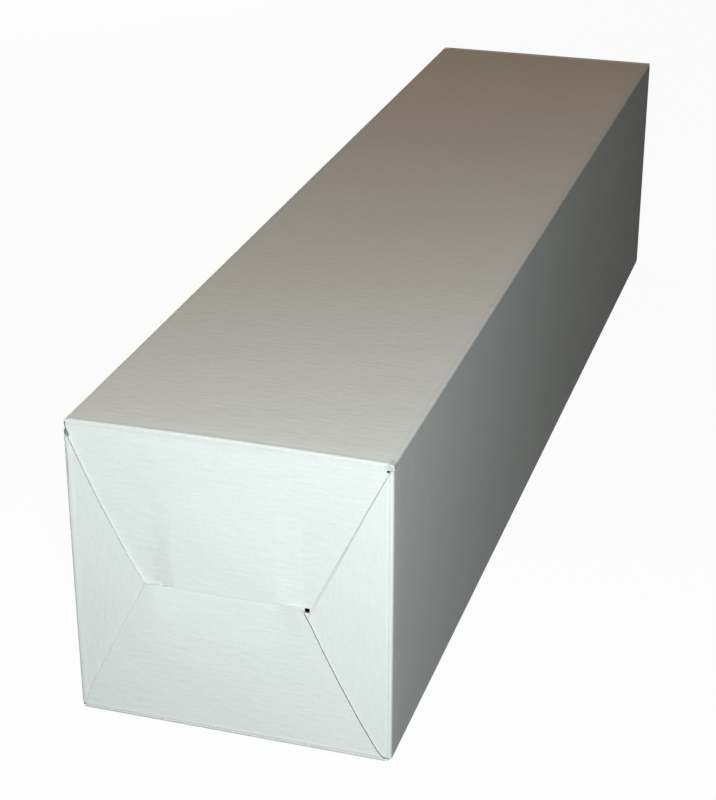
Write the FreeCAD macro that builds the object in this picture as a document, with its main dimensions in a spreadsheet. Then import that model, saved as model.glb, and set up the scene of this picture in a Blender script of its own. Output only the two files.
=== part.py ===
import FreeCAD, Part
import os
import Sketcher

# Square mailing tube folded from one blank of white board, with an interlocked end and a tuck-in lid.
# Millimetres. X across, Y along the tube with the interlocked end at minus Y, Z up, bottom wall at z 0.

os.makedirs("parts", exist_ok=True)
doc = FreeCAD.newDocument("mailing_tube")
Vec = FreeCAD.Vector

# Sizes that drive the tube
SIZES = (
    ("tube_width", 102, "outer width of the square section"),
    ("tube_height", 101, "outer height of the section as it lies"),
    ("tube_length", 442, "outer length over both closed ends"),
    ("board", 0.6, "board thickness"),
    ("fold_radius", 0.9, "outer radius of every fold"),
    ("layer_gap", 0.1, "air left between two flaps that lie on one another"),
    ("seam_gap", 0.2, "open line between two edges that meet on the end face"),
    ("lap_width", 15, "glue lap along the inside of the left wall"),
    ("lap_short", 3, "distance by which the glue lap stops short of both ends"),
    ("lid_gap", 0.4, "air between the closed lid and what lies under it"),
    ("hinge_gap", 0.3, "open crease between top wall and lid"),
    ("tuck_length", 20, "length of the lid's tuck flap"),
    ("tuck_lean", 6.5, "degrees by which the tuck flap leans off the bottom wall"),
    ("tuck_inset", 3, "tuck flap side clearance at its fold"),
    ("tuck_taper", 6, "extra side clearance at the tuck flap's free edge"),
    ("dust_reach", 30, "how far each dust flap reaches across the mouth"),
    ("dust_low", 5.5, "lower end of the dust flaps"),
    ("dust_taper", 7, "slope of the dust flaps' long edges"),
    ("dust_corner", 6, "rounding of the dust flaps' corners"),
    ("tuck_corner", 9, "rounding of the tuck flap's corners"),
    ("tongue_corner", 4, "rounding of the tongue's corners"),
    ("thumb_notch", 9, "radius of the thumb notch in the bottom wall under the lid"),
)

# Outline sizes of the four flaps on the interlocked end, each from the wall that its note names
OUTLINES = (
    ("crease_in", 1.2, "where a crease starts beside a corner"),
    ("apex_across", 24.1, "left end of the centre seam, from the left wall"),
    ("apex_up", 48.6, "left end of the centre seam, from the bottom"),
    ("seam_rise", 0.8, "rise of the centre seam from left to right"),
    ("seam_end_in", 27.6, "right end of the centre seam, from the right wall"),
    ("shoulder_in", 26.8, "corner of the bottom flap beside the open spot, from the right wall"),
    ("shoulder_up", 47.6, "height of that corner"),
    ("notch_in_left", 28.0, "left side of the notch in the top flap, from the left wall"),
    ("notch_in_right", 30.2, "right side of that notch, from the right wall"),
    ("spot_in", 25.75, "right side of the open spot at the seam's end, from the right wall"),
    ("spot_low", 47.9, "lower side of the open spot"),
    ("spot_size", 1.6, "width and height of the open spot"),
    ("corner_spot_in", 1.9, "right side of the small hole at the upper right corner, from the right wall"),
    ("corner_spot_down", 2.1, "top of that small hole, from the top"),
    ("corner_spot_size", 0.8, "width and height of that small hole"),
    ("leg_up", 36.7, "lower end of the top flap's legs"),
    ("tongue_in_left", 33.2, "left side of the tongue, from the left wall"),
    ("tongue_in_right", 35.2, "right side of the tongue, from the right wall"),
    ("tongue_rise", 14.1, "length of the tongue beyond the seam"),
    ("tongue_taper", 3.0, "slope of the tongue's sides"),
    ("left_start", 2.2, "upper end of the left side flap's crease, from the top"),
    ("left_bend_across", 1.1, "start of the left side flap's straight edge, from the left wall"),
    ("left_bend_down", 5.1, "that start, from the top"),
    ("tip_over", 0.8, "how far the left side flap's tip runs on under the bottom flap"),
    ("right_start", 1.9, "upper end of the right side flap's crease, from the top"),
    ("right_tip_in", 26.6, "tip of the right side flap, from the right wall"),
    ("right_tip_up", 46.2, "height of that tip"),
    ("side_low", 12.2, "where a side flap's hidden edge turns back to the wall"),
    ("bend_start", 20.4, "height at which the bottom flap starts to bend in"),
    ("bow_start", 7.1, "where the top flap starts to bow out, from the top"),
    ("wave_in_left", 24.8, "where bend and bow begin, from the left wall"),
    ("wave_in_right", 26.9, "where they end, from the right wall"),
    ("wave_run", 10.0, "width over which they grow"),
    ("bend_steps", 1.62, "inward bend of the bottom flap at the seam, in layers"),
)

# Sizes that follow from the others
DERIVED = (
    ("layer", "=board + layer_gap", "step from one flap to the next"),
    ("half", "=tube_width / 2", "half the width"),
    ("front", "=-tube_length / 2", "outer face of the interlocked end"),
    ("back", "=tube_length / 2", "outer face of the lid"),
    ("fold_inner", "=fold_radius - board", "inner radius of a fold"),
    ("bottom_start", "=front + fold_radius", "front end of the bottom wall"),
    ("side_start", "=bottom_start + layer", "front end of the side walls"),
    ("top_start", "=bottom_start + 2 * layer", "front end of the top wall"),
    ("side_level", "=front + layer", "outer face of the side flaps"),
    ("top_level", "=front + 2 * layer", "outer face of the top flap"),
    ("dust_level", "=back - board - lid_gap", "outer face of the dust flaps"),
    ("side_end", "=dust_level - fold_radius", "far end of the side walls"),
    ("hinge_along", "=back - board / 2", "hinge line of the lid along the tube"),
    ("hinge_up", "=tube_height - board / 2", "height of the hinge line"),
    ("top_end", "=hinge_along - board / 2 - hinge_gap", "far end of the top wall"),
    ("lid_foot", "=board + lid_gap", "underside of the lid's fold"),
    ("crease_out", "=tube_width - crease_in", "where a crease ends beside the far corner"),
    ("fold_out", "=tube_width - fold_radius", "where a flap leaves its fold at the right"),
    ("head_up", "=tube_height - fold_radius", "where a flap leaves its fold at the top"),
    ("lap_crease", "=board + fold_radius", "crease start beside the glue lap"),
    ("seam_end_across", "=tube_width - seam_end_in", "right end of the bottom flap's upper edge"),
    ("seam_end_up", "=apex_up + seam_rise", "height of that end"),
    ("shoulder_across", "=tube_width - shoulder_in", "shoulder beside the open spot"),
    ("notch_right", "=tube_width - notch_in_right", "right side of the notch"),
    ("notch_left_up", "=apex_up + seam_gap", "left end of the notch edge"),
    ("notch_right_up", "=seam_end_up + seam_gap", "right end of the notch edge"),
    ("tongue_right", "=tube_width - tongue_in_right", "right side of the tongue"),
    ("tongue_up", "=apex_up + tongue_rise", "free edge of the tongue"),
    ("tongue_top_left", "=tongue_in_left + tongue_taper", "left end of that edge"),
    ("tongue_top_right", "=tongue_right - tongue_taper", "right end of that edge"),
    ("left_start_up", "=tube_height - left_start", "upper end of the left crease"),
    ("left_bend_up", "=tube_height - left_bend_down", "start of the left straight edge"),
    ("left_tip_across", "=apex_across + tip_over", "tip of the left side flap"),
    (
        "left_tip_up",
        "=apex_up - tip_over * (left_bend_up - apex_up) / (apex_across - left_bend_across)",
        "height of that tip, on the line of its visible edge",
    ),
    ("right_start_up", "=tube_height - right_start", "upper end of the right crease"),
    ("right_tip_across", "=tube_width - right_tip_in", "tip of the right side flap"),
    ("side_turn", "=2 * crease_in", "lower end of the left side flap beside its crease"),
    ("side_turn_out", "=tube_width - side_turn", "the same on the right side flap"),
    ("dust_high", "=tube_height - 2.5 * board", "upper end of the dust flaps' creases"),
    ("dust_far", "=tube_width - dust_reach", "free edge of the right dust flap"),
    ("dust_turn_low", "=dust_low + dust_taper", "lower corner of a free edge"),
    ("dust_turn_high", "=tube_height - dust_taper", "upper corner of a free edge"),
    ("lid_half", "=half - lid_gap", "half the width of the lid"),
)

sheet = doc.addObject("Spreadsheet::Sheet", "Sizes")
for row, (alias, value, note) in enumerate(SIZES + OUTLINES + DERIVED, start=1):
    sheet.set("A%d" % row, note)
    sheet.set("B%d" % row, str(value))
    sheet.setAlias("B%d" % row, alias)
doc.recompute()


def size(alias):
    """Value of one named size."""
    return float(getattr(sheet, alias))


def bind(item, links):
    """Tie properties of one object to the sheet, given as property and formula pairs."""
    for name, formula in links.items():
        item.setExpression(name, formula)


def place(item, along_x, along_y, along_z):
    """Tie an object's position to three formulas."""
    bind(item, {
        "Placement.Base.x": along_x,
        "Placement.Base.y": along_y,
        "Placement.Base.z": along_z,
    })


def plate(name, low, high):
    """A flat stretch of board between two corners, each given as three formulas."""
    box = doc.addObject("Part::Box", name)
    bind(box, {
        "Length": "(%s) - (%s)" % (high[0], low[0]),
        "Width": "(%s) - (%s)" % (high[1], low[1]),
        "Height": "(%s) - (%s)" % (high[2], low[2]),
    })
    place(box, *low)
    return box


def fold(name, axis, quarter, centre, run, lean=0.0):
    """A quarter-round fold along X, Y or Z. quarter counts the corner it covers, lean adds to 90 degrees."""
    turns = {
        "x": FreeCAD.Rotation(Vec(0, 1, 0), 90),
        "y": FreeCAD.Rotation(Vec(1, 0, 0), -90),
        "z": FreeCAD.Rotation(),
    }
    spin = FreeCAD.Rotation(Vec(0, 0, 1), 90 * quarter - lean)
    rings = []
    for kind, radius in (("outer", "Sizes.fold_radius"), ("inner", "Sizes.fold_inner")):
        rod = doc.addObject("Part::Cylinder", "%s_%s" % (name, kind))
        rod.Angle = 90 + lean
        rod.Placement = FreeCAD.Placement(Vec(), turns[axis] * spin)
        bind(rod, {"Radius": radius, "Height": run})
        place(rod, *centre)
        rings.append(rod)
    ring = doc.addObject("Part::Cut", name)
    ring.Base = rings[0]
    ring.Tool = rings[1]
    return ring


def cross_plane(body):
    """The body's own plane across the tube."""
    return [item for item in body.Origin.OriginFeatures if item.Role == "XZ_Plane"][0]


def outline_prism(name, corners, near, depth):
    """A prism through corners given by names from the left wall and the bottom, from near over depth."""
    body = doc.addObject("PartDesign::Body", name)
    sketch = body.newObject("Sketcher::SketchObject", name + "_outline")
    sketch.AttachmentSupport = [(cross_plane(body), "")]
    sketch.MapMode = "FlatFace"
    ends = [Vec(size(across) - size("half"), size(up), 0) for across, up in corners]
    for index, start in enumerate(ends):
        sketch.addGeometry(Part.LineSegment(start, ends[(index + 1) % len(ends)]), False)
    for index in range(len(ends)):
        after = (index + 1) % len(ends)
        sketch.addConstraint(Sketcher.Constraint("Coincident", index, 2, after, 1))
    for index, (across, up) in enumerate(corners):
        wide = sketch.addConstraint(Sketcher.Constraint("DistanceX", -1, 1, index, 1, ends[index].x))
        sketch.setExpression("Constraints[%d]" % wide, "Sizes.%s - Sizes.half" % across)
        tall = sketch.addConstraint(Sketcher.Constraint("DistanceY", -1, 1, index, 1, ends[index].y))
        sketch.setExpression("Constraints[%d]" % tall, "Sizes.%s" % up)
    sketch.setExpression("AttachmentOffset.Base.z", "-(%s) - (%s)" % (near, depth))
    doc.recompute()
    pad = body.newObject("PartDesign::Pad", name + "_pad")
    pad.Profile = sketch
    pad.setExpression("Length", depth)
    body.Tip = pad
    doc.recompute()
    return body


def round_corners(body, radius, corners):
    """Round a prism's upright edges at some of its corners, each given as two size names."""
    spots = [(size(across) - size("half"), size(up)) for across, up in corners]
    names = []
    for index, edge in enumerate(body.Shape.Edges, start=1):
        middle = edge.BoundBox.Center
        upright = max(edge.BoundBox.XLength, edge.BoundBox.ZLength) < 1e-3 < edge.BoundBox.YLength
        if upright and any(abs(middle.x - x) < 1e-3 and abs(middle.z - z) < 1e-3 for x, z in spots):
            names.append("Edge%d" % index)
    whole = body.Tip
    rounding = body.newObject("PartDesign::Fillet", body.Name + "_corners")
    rounding.Base = (whole, names)
    rounding.setExpression("Radius", "Sizes." + radius)
    body.Tip = rounding
    doc.recompute()
    if len(names) != len(corners):
        raise RuntimeError("%s has %d corners to round, not %d" % (body.Name, len(names), len(corners)))


def ease(value):
    """Smooth rise from 0 to 1."""
    value = min(max(value, 0.0), 1.0)
    return value * value * (3 - 2 * value)


def wave(across):
    """Share of the full bend at one distance from the left wall, 0 beside the side flaps."""
    run = size("wave_run")
    from_right = size("tube_width") - across
    return ease((across - size("wave_in_left")) / run) * ease((from_right - size("wave_in_right")) / run)


def bottom_depth(across, up):
    """Depth of the bottom flap's outer face: level first, then bending in towards its tongue."""
    reach = (up - size("bend_start")) / (size("apex_up") - size("bend_start"))
    return size("bend_steps") * size("layer") * wave(across) * max(reach, 0.0) ** 2


def top_depth(across, up):
    """Depth of the top flap's outer face: two layers in, bowing out over the tongue."""
    start = size("tube_height") - size("bow_start")
    reach = (start - up) / (start - size("apex_up"))
    return (2 - size("bend_steps") * wave(across) * ease(reach)) * size("layer")


def bent_sheet(name, depth, low, high, columns, rows):
    """A sheet of board whose outer face follows a depth formula between two heights."""
    grid = []
    for column in range(columns + 1):
        across = size("tube_width") * column / columns
        line = []
        for row in range(rows + 1):
            up = low + (high - low) * row / rows
            line.append(Vec(across - size("half"), size("front") + depth(across, up), up))
        grid.append(line)
    surface = Part.BSplineSurface()
    surface.interpolate(grid)
    sheet_of_board = doc.addObject("Part::Feature", name)
    sheet_of_board.Shape = surface.toShape().extrude(Vec(0, size("board"), 0))
    return sheet_of_board


def common(name, first, second):
    """What two shapes share."""
    item = doc.addObject("Part::Common", name)
    item.Base = first
    item.Tool = second
    return item


def fuse(name, items):
    """One solid out of touching stretches of board."""
    item = doc.addObject("Part::MultiFuse", name)
    item.Shapes = items
    item.Refine = True
    return item


# Four walls
left_in = "-Sizes.half + Sizes.board + Sizes.fold_radius"
right_in = "Sizes.half - Sizes.fold_radius"
bottom_wall = plate(
    "bottom_wall",
    (left_in, "Sizes.bottom_start", "0"),
    (right_in, "Sizes.back", "Sizes.board"),
)
top_wall = plate(
    "top_wall",
    ("-Sizes.half + Sizes.fold_radius", "Sizes.top_start", "Sizes.tube_height - Sizes.board"),
    (right_in, "Sizes.top_end", "Sizes.tube_height"),
)
left_wall = plate(
    "left_wall",
    ("-Sizes.half", "Sizes.side_start", "0"),
    ("-Sizes.half + Sizes.board", "Sizes.side_end", "Sizes.head_up"),
)
right_wall = plate(
    "right_wall",
    ("Sizes.half - Sizes.board", "Sizes.side_start", "Sizes.fold_radius"),
    ("Sizes.half", "Sizes.side_end", "Sizes.head_up"),
)

# Three long folds, and the fold of the glue lap inside the left wall
wall_run = "Sizes.side_end - Sizes.side_start"
head = "Sizes.head_up"
corner_low_right = fold("corner_low_right", "y", 0, (right_in, "Sizes.side_start", "Sizes.fold_radius"), wall_run)
corner_top_right = fold("corner_top_right", "y", 3, (right_in, "Sizes.side_start", head), wall_run)
corner_top_left = fold(
    "corner_top_left", "y", 2, ("-Sizes.half + Sizes.fold_radius", "Sizes.side_start", head), wall_run
)
lap_near = "Sizes.side_start + Sizes.lap_short"
lap_far = "Sizes.side_end - Sizes.lap_short"
lap_fold = fold(
    "lap_fold", "y", 1, (left_in, lap_near, "Sizes.fold_radius"), "(%s) - (%s)" % (lap_far, lap_near)
)
glue_lap = plate(
    "glue_lap",
    ("-Sizes.half + Sizes.board", lap_near, "Sizes.fold_radius"),
    ("-Sizes.half + 2 * Sizes.board", lap_far, "Sizes.lap_width"),
)

# Bottom flap with its tongue, on the outside of the interlocked end
front_depth = "12 * Sizes.layer"
bottom_prism = outline_prism(
    "bottom_prism",
    (
        ("lap_crease", "fold_radius"),
        ("crease_out", "fold_radius"),
        ("shoulder_across", "shoulder_up"),
        ("seam_end_across", "seam_end_up"),
        ("tongue_right", "seam_end_up"),
        ("tongue_top_right", "tongue_up"),
        ("tongue_top_left", "tongue_up"),
        ("tongue_in_left", "apex_up"),
        ("apex_across", "apex_up"),
    ),
    "Sizes.front - Sizes.layer",
    front_depth,
)
round_corners(
    bottom_prism,
    "tongue_corner",
    (("tongue_top_left", "tongue_up"), ("tongue_top_right", "tongue_up")),
)
bottom_sheet = bent_sheet("bottom_sheet", bottom_depth, size("fold_radius"), size("tongue_up") + 2, 48, 24)
bottom_flap = common("bottom_flap", bottom_sheet, bottom_prism)
bottom_fold = fold(
    "bottom_fold",
    "x",
    3,
    ("-Sizes.half + Sizes.lap_crease", "Sizes.bottom_start", "Sizes.fold_radius"),
    "Sizes.crease_out - Sizes.lap_crease",
)

# Side flaps between bottom flap and top flap
left_flap = outline_prism(
    "left_flap",
    (
        ("fold_radius", "crease_in"),
        ("side_turn", "crease_in"),
        ("left_tip_across", "side_low"),
        ("left_tip_across", "left_tip_up"),
        ("left_bend_across", "left_bend_up"),
        ("fold_radius", "left_start_up"),
    ),
    "Sizes.side_level",
    "Sizes.board",
)
right_flap = outline_prism(
    "right_flap",
    (
        ("fold_out", "crease_in"),
        ("fold_out", "right_start_up"),
        ("right_tip_across", "right_tip_up"),
        ("right_tip_across", "side_low"),
        ("side_turn_out", "crease_in"),
    ),
    "Sizes.side_level",
    "Sizes.board",
)

# Top flap, notched for the tongue, the innermost of the four
top_prism = outline_prism(
    "top_prism",
    (
        ("crease_in", "head_up"),
        ("crease_in", "leg_up"),
        ("notch_in_left", "leg_up"),
        ("notch_in_left", "notch_left_up"),
        ("notch_right", "notch_right_up"),
        ("notch_right", "leg_up"),
        ("crease_out", "leg_up"),
        ("crease_out", "head_up"),
    ),
    "Sizes.front - Sizes.layer",
    front_depth,
)
top_sheet = bent_sheet("top_sheet", top_depth, size("leg_up") - 2, size("head_up"), 48, 24)
top_whole = common("top_whole", top_sheet, top_prism)


def hole_tool(name, right_side, low_side, side):
    """A square prong through the end face, from its right side and lower side."""
    return plate(
        name,
        ("%s - %s" % (right_side, side), "Sizes.front - Sizes.layer", low_side),
        (right_side, "Sizes.front + 6 * Sizes.layer", "%s + %s" % (low_side, side)),
    )


# Two places where the board is open: the end of the centre seam, and the upper right corner
seam_spot = hole_tool("seam_spot", "Sizes.half - Sizes.spot_in", "Sizes.spot_low", "Sizes.spot_size")
corner_spot = hole_tool(
    "corner_spot",
    "Sizes.half - Sizes.corner_spot_in",
    "Sizes.tube_height - Sizes.corner_spot_down - Sizes.corner_spot_size",
    "Sizes.corner_spot_size",
)
top_with_spot = doc.addObject("Part::Cut", "top_with_spot")
top_with_spot.Base = top_whole
top_with_spot.Tool = seam_spot
top_flap = doc.addObject("Part::Cut", "top_flap")
top_flap.Base = top_with_spot
top_flap.Tool = corner_spot

# Folds of the other three flaps
top_fold = fold(
    "top_fold",
    "x",
    2,
    ("-Sizes.half + Sizes.crease_in", "Sizes.top_start", head),
    "Sizes.crease_out - Sizes.crease_in",
)
left_fold = fold(
    "left_fold",
    "z",
    2,
    ("-Sizes.half + Sizes.fold_radius", "Sizes.side_start", "Sizes.crease_in"),
    "Sizes.left_start_up - Sizes.crease_in",
)
right_fold = fold(
    "right_fold",
    "z",
    3,
    (right_in, "Sizes.side_start", "Sizes.crease_in"),
    "Sizes.right_start_up - Sizes.crease_in",
)

# Dust flaps behind the lid
dust_run = "Sizes.dust_high - Sizes.dust_low"
left_dust_fold = fold(
    "left_dust_fold",
    "z",
    1,
    ("-Sizes.half + Sizes.fold_radius", "Sizes.side_end", "Sizes.dust_low"),
    dust_run,
)
right_dust_fold = fold("right_dust_fold", "z", 0, (right_in, "Sizes.side_end", "Sizes.dust_low"), dust_run)
dust_inner = "Sizes.dust_level - Sizes.board"
left_dust = outline_prism(
    "left_dust",
    (
        ("fold_radius", "dust_low"),
        ("dust_reach", "dust_turn_low"),
        ("dust_reach", "dust_turn_high"),
        ("fold_radius", "dust_high"),
    ),
    dust_inner,
    "Sizes.board",
)
right_dust = outline_prism(
    "right_dust",
    (
        ("fold_out", "dust_low"),
        ("fold_out", "dust_high"),
        ("dust_far", "dust_turn_high"),
        ("dust_far", "dust_turn_low"),
    ),
    dust_inner,
    "Sizes.board",
)
round_corners(
    left_dust,
    "dust_corner",
    (("dust_reach", "dust_turn_low"), ("dust_reach", "dust_turn_high")),
)
round_corners(
    right_dust,
    "dust_corner",
    (("dust_far", "dust_turn_low"), ("dust_far", "dust_turn_high")),
)

# Thumb notch in the bottom wall, a half round from its free edge
thumb_rod = doc.addObject("Part::Cylinder", "thumb_rod")
bind(thumb_rod, {"Radius": "Sizes.thumb_notch", "Height": "4 * Sizes.board"})
place(thumb_rod, "0", "Sizes.back", "-Sizes.board")
bottom_wall = doc.addObject("Part::Cut", "notched_bottom_wall")
bottom_wall.Base = doc.bottom_wall
bottom_wall.Tool = thumb_rod

# The folded blank as one piece
tube_body = fuse(
    "tube_body",
    [
        bottom_wall, top_wall, left_wall, right_wall,
        corner_low_right, corner_top_right, corner_top_left, lap_fold, glue_lap,
        bottom_fold, bottom_flap, top_fold, top_flap,
        left_fold, left_flap, right_fold, right_flap,
        left_dust_fold, left_dust, right_dust_fold, right_dust,
    ],
)
tube_body.Label = "tube_body"

# Lid: panel, rounded hinge edge, fold and leaning tuck flap
lid_panel = plate(
    "lid_panel",
    ("-Sizes.lid_half", "Sizes.back - Sizes.board", "Sizes.lid_foot + Sizes.fold_radius"),
    ("Sizes.lid_half", "Sizes.back", "Sizes.hinge_up"),
)
hinge_edge = doc.addObject("Part::Cylinder", "hinge_edge")
hinge_edge.Placement = FreeCAD.Placement(Vec(), FreeCAD.Rotation(Vec(0, 1, 0), 90))
bind(hinge_edge, {"Radius": "Sizes.board / 2", "Height": "2 * Sizes.lid_half"})
place(hinge_edge, "-Sizes.lid_half", "Sizes.hinge_along", "Sizes.hinge_up")
lean_angle = size("tuck_lean")
tuck_fold = fold(
    "tuck_fold",
    "x",
    0,
    (
        "-Sizes.lid_half + Sizes.tuck_inset",
        "Sizes.back - Sizes.fold_radius",
        "Sizes.lid_foot + Sizes.fold_radius",
    ),
    "2 * (Sizes.lid_half - Sizes.tuck_inset)",
    lean_angle,
)


def tuck_outline(body):
    """Tapered outline of the tuck flap, drawn flat with its fold edge on the X axis."""
    sketch = body.newObject("Sketcher::SketchObject", "tuck_flap_outline")
    plane = [item for item in body.Origin.OriginFeatures if item.Role == "XY_Plane"][0]
    sketch.AttachmentSupport = [(plane, "")]
    sketch.MapMode = "FlatFace"
    wide = size("lid_half") - size("tuck_inset")
    narrow = wide - size("tuck_taper")
    reach = size("tuck_length") - size("fold_radius")
    corners = (Vec(-wide, 0, 0), Vec(-narrow, -reach, 0), Vec(narrow, -reach, 0), Vec(wide, 0, 0))
    for index, start in enumerate(corners):
        sketch.addGeometry(Part.LineSegment(start, corners[(index + 1) % 4]), False)
    for index in range(4):
        sketch.addConstraint(Sketcher.Constraint("Coincident", index, 2, (index + 1) % 4, 1))
    wide_text = "Sizes.lid_half - Sizes.tuck_inset"
    formulas = (
        ("-(%s)" % wide_text, "0"),
        ("-(%s) + Sizes.tuck_taper" % wide_text, "-Sizes.tuck_length + Sizes.fold_radius"),
        ("%s - Sizes.tuck_taper" % wide_text, "-Sizes.tuck_length + Sizes.fold_radius"),
        (wide_text, "0"),
    )
    for index, (across, along) in enumerate(formulas):
        one = sketch.addConstraint(Sketcher.Constraint("DistanceX", -1, 1, index, 1, corners[index].x))
        sketch.setExpression("Constraints[%d]" % one, across)
        two = sketch.addConstraint(Sketcher.Constraint("DistanceY", -1, 1, index, 1, corners[index].y))
        sketch.setExpression("Constraints[%d]" % two, along)
    return sketch


tuck_flap = doc.addObject("PartDesign::Body", "tuck_flap")
tuck_sketch = tuck_outline(tuck_flap)
doc.recompute()
tuck_pad = tuck_flap.newObject("PartDesign::Pad", "tuck_flap_pad")
tuck_pad.Profile = tuck_sketch
tuck_pad.setExpression("Length", "Sizes.board")
tuck_flap.Tip = tuck_pad
doc.recompute()
tuck_free = [
    "Edge%d" % index
    for index, edge in enumerate(tuck_pad.Shape.Edges, start=1)
    if edge.BoundBox.ZLength > 1e-3 and edge.BoundBox.Center.y < -size("tuck_length") / 2
]
tuck_rounding = tuck_flap.newObject("PartDesign::Fillet", "tuck_flap_corners")
tuck_rounding.Base = (tuck_pad, tuck_free)
tuck_rounding.setExpression("Radius", "Sizes.tuck_corner")
tuck_flap.Tip = tuck_rounding
tuck_flap.Placement = FreeCAD.Placement(Vec(), FreeCAD.Rotation(Vec(1, 0, 0), -lean_angle))
place(
    tuck_flap,
    "0",
    "Sizes.back - Sizes.fold_radius - Sizes.fold_radius * sin(Sizes.tuck_lean)",
    "Sizes.lid_foot + Sizes.fold_radius - Sizes.fold_radius * cos(Sizes.tuck_lean)",
)
tuck_lid = fuse("tuck_lid", [lid_panel, hinge_edge, tuck_fold, tuck_flap])
tuck_lid.Label = "tuck_lid"
doc.recompute()

# Checks and export
for item in doc.Objects:
    if "Invalid" in item.State or "Error" in item.State:
        raise RuntimeError("%s did not build: %s" % (item.Name, item.State))
    if hasattr(item, "Shape") and item.TypeId.startswith("Part"):
        if item.Shape.isNull() or not item.Shape.isValid():
            raise RuntimeError("%s has no sound shape" % item.Name)
for item in (tube_body, tuck_lid):
    if len(item.Shape.Solids) != 1:
        raise RuntimeError("%s has %d solids" % (item.Name, len(item.Shape.Solids)))
    item.Shape.Solids[0].exportStep("parts/%s.step" % item.Label)
    box = item.Shape.BoundBox
    print(item.Label, round(item.Shape.Volume / 1000, 2), "cm3", "x %.2f y %.2f z %.2f" % (box.XLength, box.YLength, box.ZLength))
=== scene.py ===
"""Looks of a square white mailing tube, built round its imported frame."""

import math

import bmesh
import bpy
from bpy.props import FloatProperty, FloatVectorProperty, PointerProperty, StringProperty
from mathutils import Matrix, Vector, noise


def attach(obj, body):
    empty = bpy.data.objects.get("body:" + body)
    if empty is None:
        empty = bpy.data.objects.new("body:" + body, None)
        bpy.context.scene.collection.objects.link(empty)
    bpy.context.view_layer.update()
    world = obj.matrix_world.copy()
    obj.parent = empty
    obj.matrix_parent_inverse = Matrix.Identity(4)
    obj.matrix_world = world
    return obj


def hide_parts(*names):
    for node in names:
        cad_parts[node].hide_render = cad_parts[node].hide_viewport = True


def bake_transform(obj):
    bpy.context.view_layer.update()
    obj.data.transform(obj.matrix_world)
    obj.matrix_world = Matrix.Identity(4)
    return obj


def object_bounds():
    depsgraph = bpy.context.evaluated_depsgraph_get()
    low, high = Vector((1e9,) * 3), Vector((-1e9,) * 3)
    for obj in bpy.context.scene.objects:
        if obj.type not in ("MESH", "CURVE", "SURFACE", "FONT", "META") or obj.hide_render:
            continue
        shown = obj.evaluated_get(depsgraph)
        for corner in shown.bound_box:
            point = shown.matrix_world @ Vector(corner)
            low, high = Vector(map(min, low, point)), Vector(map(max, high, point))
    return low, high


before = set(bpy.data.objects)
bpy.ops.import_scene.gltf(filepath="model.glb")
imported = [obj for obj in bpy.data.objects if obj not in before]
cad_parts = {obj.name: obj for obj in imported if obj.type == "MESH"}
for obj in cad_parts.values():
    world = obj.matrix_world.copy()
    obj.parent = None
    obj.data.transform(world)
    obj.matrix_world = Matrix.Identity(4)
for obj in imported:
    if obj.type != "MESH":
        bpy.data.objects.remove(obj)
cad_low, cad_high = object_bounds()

bl_info = {
    "name": "White mailing tube",
    "version": (1, 0, 0),
    "blender": (4, 5, 0),
    "location": "3D View > Sidebar > Tube",
    "description": "Builds the board, folds, lid crease and studio of a square mailing tube",
    "category": "Object",
}

# Sizes that the board's construction gives, in metres
BOARD = 0.0006
FOLD = 0.0009
LAYER = 0.0007
WIDTH = cad_high.x - cad_low.x
HALF = WIDTH / 2
FRONT = cad_low.y
BACK = cad_high.y
TOP = cad_high.z
SIDE_START = FRONT + FOLD + LAYER
TOP_START = FRONT + FOLD + 2 * LAYER
SIDE_END = BACK - BOARD - 0.0004 - FOLD
TOP_END = BACK - BOARD - 0.0003
HINGE_UP = TOP - BOARD / 2
# The folded sheets of the end face lie within this depth
END_DEPTH = 0.0045
APEX = (0.0241 - HALF, 0.0486)
SHOULDER = (HALF - 0.0268, 0.0476)
SPOT = (HALF - 0.0266, 0.0487)
# Rise of the centre seam per metre across
SEAM_TILT = 0.016
# Where the visible flap edges run, as (distance across, height) of both ends
EDGES = {
    "bottom_right": ((HALF - 0.0012, 0.0009), SHOULDER),
    "bottom_left": ((0.0015 - HALF, 0.0009), APEX),
    "left": (APEX, (0.0011 - HALF, TOP - 0.0051)),
    "right": ((HALF - 0.0266, 0.0462), (HALF - 0.0009, TOP - 0.0019)),
}
# How far each edge strays sideways from its straight run: (height, shift)
STRAY = {
    "bottom_right": (
        (0.0009, -0.0008),
        (0.0030, -0.0018),
        (0.0130, -0.0021),
        (0.0240, -0.0018),
        (0.0350, -0.0012),
        (0.0430, -0.0004),
        (0.0476, 0.0),
    ),
    "bottom_left": (
        (0.0009, -0.0002),
        (0.0080, -0.0013),
        (0.0200, -0.0011),
        (0.0380, -0.0008),
        (0.0486, 0.0),
    ),
    "left": ((0.0486, -0.0005), (0.0560, -0.0011), (0.0720, -0.0013), (0.0850, -0.0008), (0.0959, 0.0)),
    "right": ((0.0462, 0.0005), (0.0600, 0.0005), (0.0720, 0.0003), (0.0850, 0.0), (0.0991, 0.0)),
}
# Closer cuts on the end face, in metres from the left wall, the right wall and the bottom
LEFT_CUTS = (0.0028, 0.0045, 0.0249, 0.0255, 0.0261, 0.0275, 0.029, 0.031, 0.033)
RIGHT_CUTS = (0.0028, 0.0045, 0.0267, 0.0273, 0.0279, 0.0295, 0.0315, 0.033, 0.035)
LOW_CUTS = (0.002, 0.0035, 0.0055, 0.013, 0.021, 0.030, 0.038, 0.043, 0.0465)
HIGH_CUTS = (0.0535, 0.057, 0.0955, 0.0965, 0.0975, 0.0985)
FINE_CUTS = (
    ((1, 0, 0), (-HALF, 0, 0), LEFT_CUTS),
    ((-1, 0, 0), (HALF, 0, 0), RIGHT_CUTS),
    ((0, 0, 1), (0, 0, 0), LOW_CUTS + HIGH_CUTS),
)
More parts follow.
